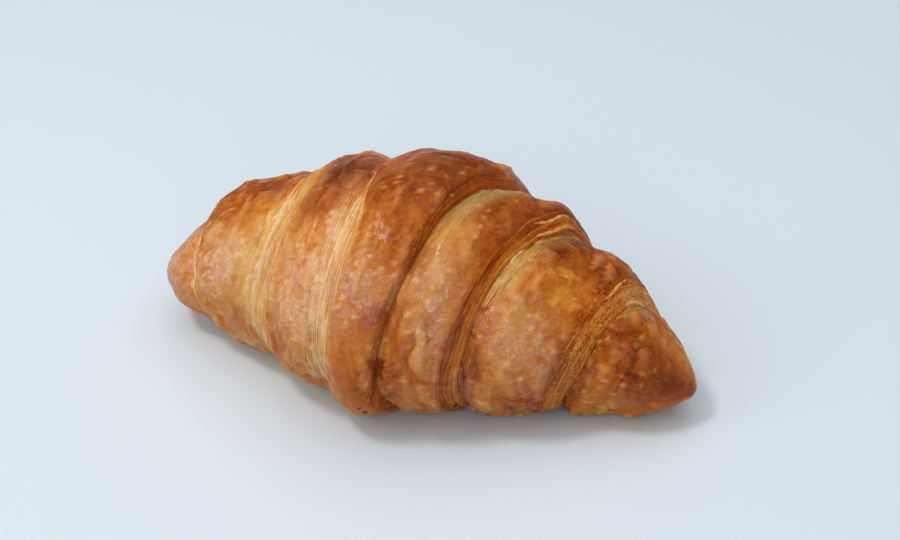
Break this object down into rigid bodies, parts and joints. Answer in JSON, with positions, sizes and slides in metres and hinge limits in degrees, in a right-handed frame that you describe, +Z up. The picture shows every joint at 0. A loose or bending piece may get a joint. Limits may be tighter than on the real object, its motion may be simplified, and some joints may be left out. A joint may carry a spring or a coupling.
{
  "type": "croissant",
  "caption": "Baked croissant of laminated dough, rolled into overlapping bands that taper to a point at each end.",
  "frame": {"origin": "middle of the footprint, on the surface it rests on", "axes": "+X along the roll towards the lower, blunter tip, +Y to the back, +Z up"},
  "size_m": [0.1536, 0.0752, 0.0641],
  "materials": {
    "crust": "egg-washed golden-brown crust, satin, paler at the cut edges of the dough"
  },
  "bodies": {
    "root": {"croissant": "crust"}
  },
  "joints": []
}
